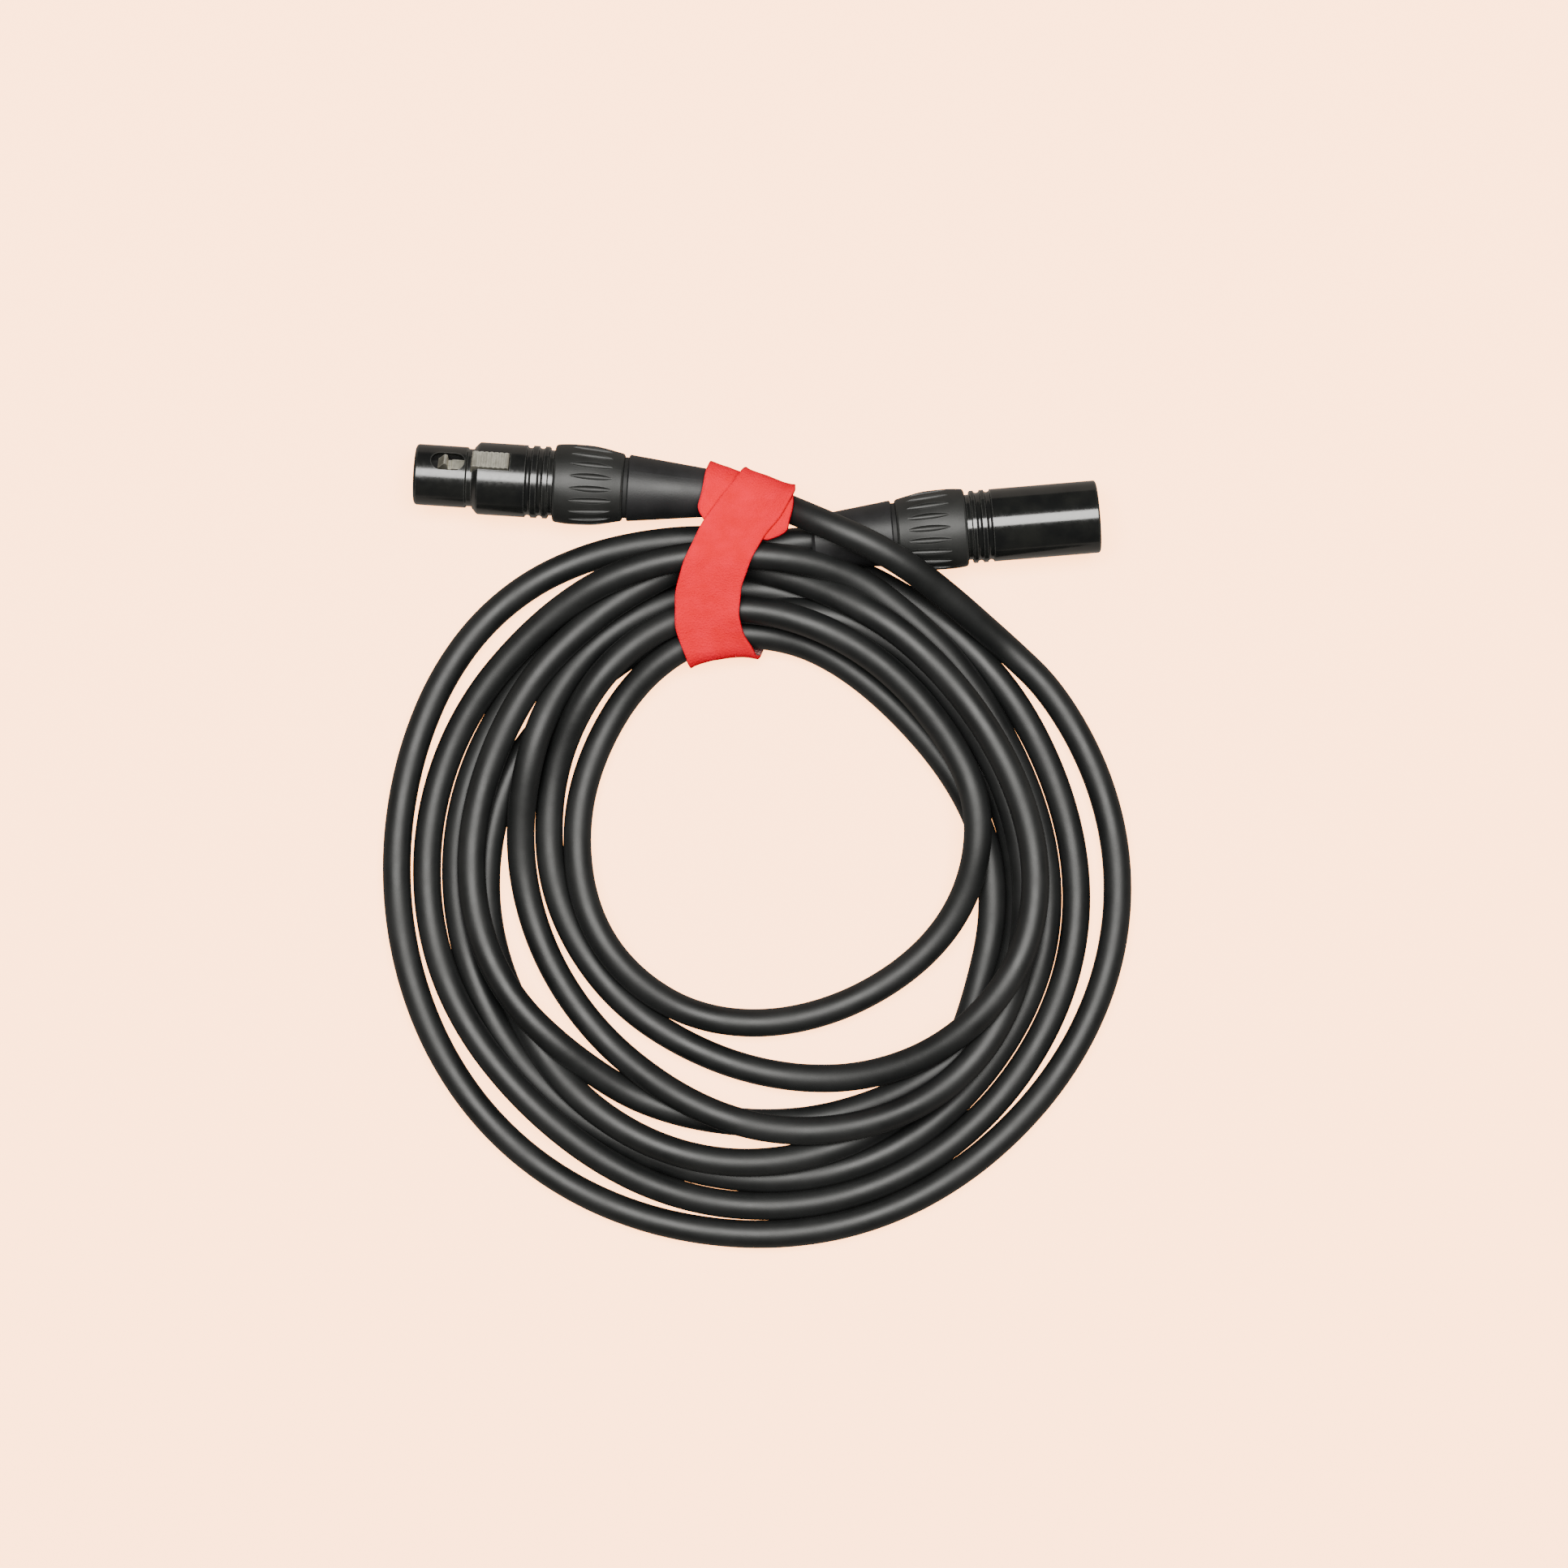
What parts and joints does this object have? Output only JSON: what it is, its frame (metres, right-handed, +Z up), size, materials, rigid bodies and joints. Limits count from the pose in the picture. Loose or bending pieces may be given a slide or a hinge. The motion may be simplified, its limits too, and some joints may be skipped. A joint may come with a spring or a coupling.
{
  "type": "microphone cable",
  "caption": "Coiled microphone cable with a latching female connector, a male pin connector and a hook-and-loop tie round the bundle.",
  "frame": {"origin": "middle of the whole object's outline, on the surface that it lies on", "axes": "+Z up; +X from the female connector's side to the male connector's mouth; +Y from the open coil towards the connectors"},
  "size_m": [0.1979, 0.212, 0.0273],
  "materials": {
    "black_chrome": "gloss black chrome plating",
    "insert_plastic": "moulded black plastic",
    "contact_metal": "silver plated",
    "latch_metal": "satin nickel",
    "spring_steel": "plain",
    "chuck_plastic": "moulded white plastic",
    "collar_plastic": "matte black",
    "ring_plastic": "matte black",
    "boot_rubber": "matte black",
    "cable_jacket": "satin black",
    "core_insulation": "coloured insulation",
    "tie_tape": "woven hook-and-loop tape"
  },
  "bodies": {
    "cable": {"female_shell": "black_chrome", "female_insert": "insert_plastic", "female_contact_1": "contact_metal", "female_contact_2": "contact_metal", "female_contact_3": "contact_metal", "latch_pivot_pin": "spring_steel", "latch_spring": "spring_steel", "female_chuck": "chuck_plastic", "female_cable_tail": "cable_jacket", "female_conductors": "core_insulation", "male_shell": "black_chrome", "male_insert": "insert_plastic", "male_pin_1": "contact_metal", "male_pin_2": "contact_metal", "male_pin_3": "contact_metal", "male_chuck": "chuck_plastic", "male_cable_tail": "cable_jacket", "male_conductors": "core_insulation", "cable_coil": "cable_jacket", "cable_lead_female": "cable_jacket", "cable_lead_male": "cable_jacket", "tie_band": "tie_tape"},
    "latch": {"latch_lever": "latch_metal"},
    "female_ring": {"female_coding_ring": "ring_plastic"},
    "female_bushing": {"female_collar": "collar_plastic", "female_boot": "boot_rubber"},
    "male_ring": {"male_coding_ring": "ring_plastic"},
    "male_bushing": {"male_collar": "collar_plastic", "male_boot": "boot_rubber"},
    "tie_end": {"tie_tail": "tie_tape"}
  },
  "joints": [
    {"name": "latch_release", "type": "hinge", "parent": "cable", "child": "latch", "pos_m": [-0.0637, 0.09821, 0.01523], "axis": [-0.0575, -0.8891, 0.454], "range_deg": [0, 5], "stiffness_Nm_per_rad": 0.5, "springref_deg": -2.86, "deforming": ["latch_spring"]},
    {"name": "female_collar_travel", "type": "slide", "parent": "cable", "child": "female_ring", "axis": [0.9979, -0.0645, 0], "range_m": [0, 0.003]},
    {"name": "female_collar_unscrew", "type": "hinge", "parent": "female_ring", "child": "female_bushing", "pos_m": [-0.05428, 0.09523, 0.0106], "axis": [0.9979, -0.0645, 0], "range_deg": [0, 1080]},
    {"name": "male_collar_travel", "type": "slide", "parent": "cable", "child": "male_ring", "axis": [-0.9965, -0.0837, 0], "range_m": [0, 0.003]},
    {"name": "male_collar_unscrew", "type": "hinge", "parent": "male_ring", "child": "male_bushing", "pos_m": [0.05213, 0.08341, 0.0106], "axis": [-0.9965, -0.0837, 0], "range_deg": [0, 1080]},
    {"name": "tie_peel", "type": "hinge", "parent": "cable", "child": "tie_end", "pos_m": [-0.01192, 0.05232, 0.0231], "axis": [0.9703, -0.2419, 0], "range_deg": [0, 150]}
  ],
  "couplings": [
    {"joint": "female_collar_travel", "follows": "female_collar_unscrew", "m_per_rad": 0.00015915},
    {"joint": "male_collar_travel", "follows": "male_collar_unscrew", "m_per_rad": 0.00015915}
  ]
}
